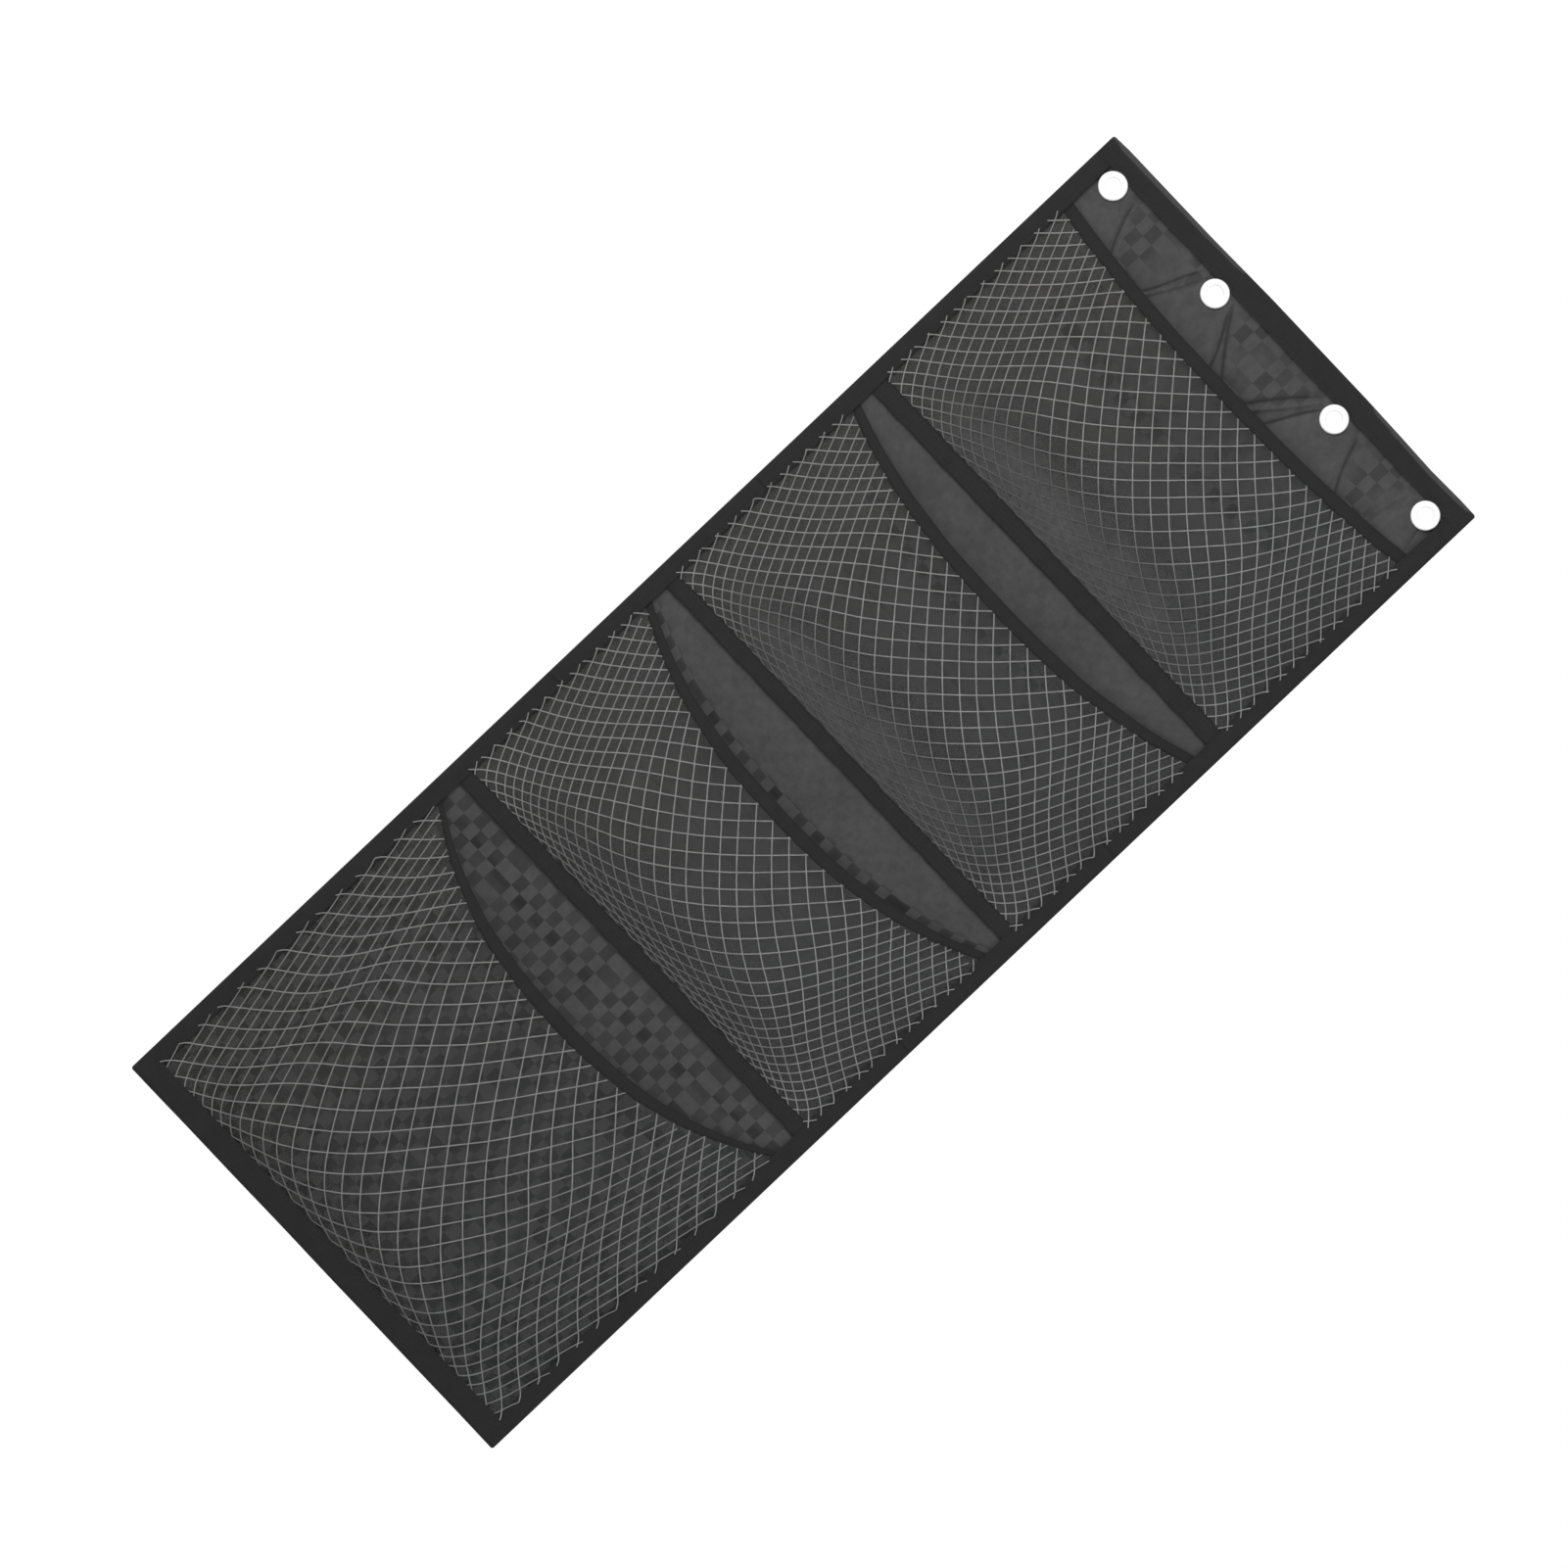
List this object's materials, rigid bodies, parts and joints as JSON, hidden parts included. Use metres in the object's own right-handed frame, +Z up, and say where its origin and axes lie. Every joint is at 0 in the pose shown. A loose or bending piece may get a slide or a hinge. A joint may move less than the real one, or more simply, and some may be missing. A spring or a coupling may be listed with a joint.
{
  "type": "hanging mesh pocket organizer",
  "caption": "Tall fabric panel with stacked see-through net pockets, bound edges, cross seams it folds at, and eyelets along its top to hang it by.",
  "frame": {"origin": "middle of the eyelet row, on the plane of the back", "axes": "+Z up along the hanging panel, +X across it to the viewer's right, the front with the pockets looks along -Y"},
  "size_m": [0.305, 0.0274, 0.787],
  "materials": {
    "back_fabric": "dark grey woven cloth with a faint check",
    "binding": "matte near-black woven tape, stitched",
    "seam_tape": "matte near-black woven tape, stitched",
    "rim_tape": "matte near-black folded tape, stitched",
    "pocket_net": "fine dark net with a grid of pale thicker threads on the bias",
    "eyelet_metal": "bright pale plated metal"
  },
  "bodies": {
    "section_1": {"back_panel_1": "back_fabric", "top_binding": "binding", "left_binding_1": "binding", "right_binding_1": "binding", "pocket_net_1": "pocket_net", "seam_tape_1": "seam_tape", "eyelet_1": "eyelet_metal", "eyelet_2": "eyelet_metal", "eyelet_3": "eyelet_metal", "eyelet_4": "eyelet_metal", "eyelet_washer_1": "eyelet_metal", "eyelet_washer_2": "eyelet_metal", "eyelet_washer_3": "eyelet_metal", "eyelet_washer_4": "eyelet_metal"},
    "section_2": {"back_panel_2": "back_fabric", "left_binding_2": "binding", "right_binding_2": "binding", "pocket_net_2": "pocket_net", "seam_tape_2": "seam_tape"},
    "section_3": {"back_panel_3": "back_fabric", "left_binding_3": "binding", "right_binding_3": "binding", "pocket_net_3": "pocket_net", "seam_tape_3": "seam_tape"},
    "section_4": {"back_panel_4": "back_fabric", "left_binding_4": "binding", "right_binding_4": "binding", "pocket_net_4": "pocket_net", "bottom_binding": "binding"},
    "mouth_1": {"pocket_rim_1": "rim_tape"},
    "mouth_2": {"pocket_rim_2": "rim_tape"},
    "mouth_3": {"pocket_rim_3": "rim_tape"},
    "mouth_4": {"pocket_rim_4": "rim_tape"}
  },
  "joints": [
    {"name": "upper_fold", "type": "hinge", "parent": "section_1", "child": "section_2", "pos_m": [0, 0.0005, -0.1838], "axis": [1, 0, 0], "range_deg": [0, 175]},
    {"name": "middle_fold", "type": "hinge", "parent": "section_2", "child": "section_3", "pos_m": [0, -0.0052, -0.3482], "axis": [-1, 0, 0], "range_deg": [0, 115]},
    {"name": "lower_fold", "type": "hinge", "parent": "section_3", "child": "section_4", "pos_m": [0, 0.0005, -0.514], "axis": [1, 0, 0], "range_deg": [0, 165]},
    {"name": "mouth_1_pull", "type": "hinge", "parent": "section_1", "child": "mouth_1", "pos_m": [0, -0.0037, -0.0234], "axis": [1, 0, 0], "range_deg": [-35, 0]},
    {"name": "mouth_2_pull", "type": "hinge", "parent": "section_2", "child": "mouth_2", "pos_m": [0, -0.0037, -0.1935], "axis": [1, 0, 0], "range_deg": [-35, 0]},
    {"name": "mouth_3_pull", "type": "hinge", "parent": "section_3", "child": "mouth_3", "pos_m": [0, -0.0037, -0.36], "axis": [1, 0, 0], "range_deg": [-35, 0]},
    {"name": "mouth_4_pull", "type": "hinge", "parent": "section_4", "child": "mouth_4", "pos_m": [0, -0.0037, -0.5275], "axis": [1, 0, 0], "range_deg": [-35, 0]}
  ]
}
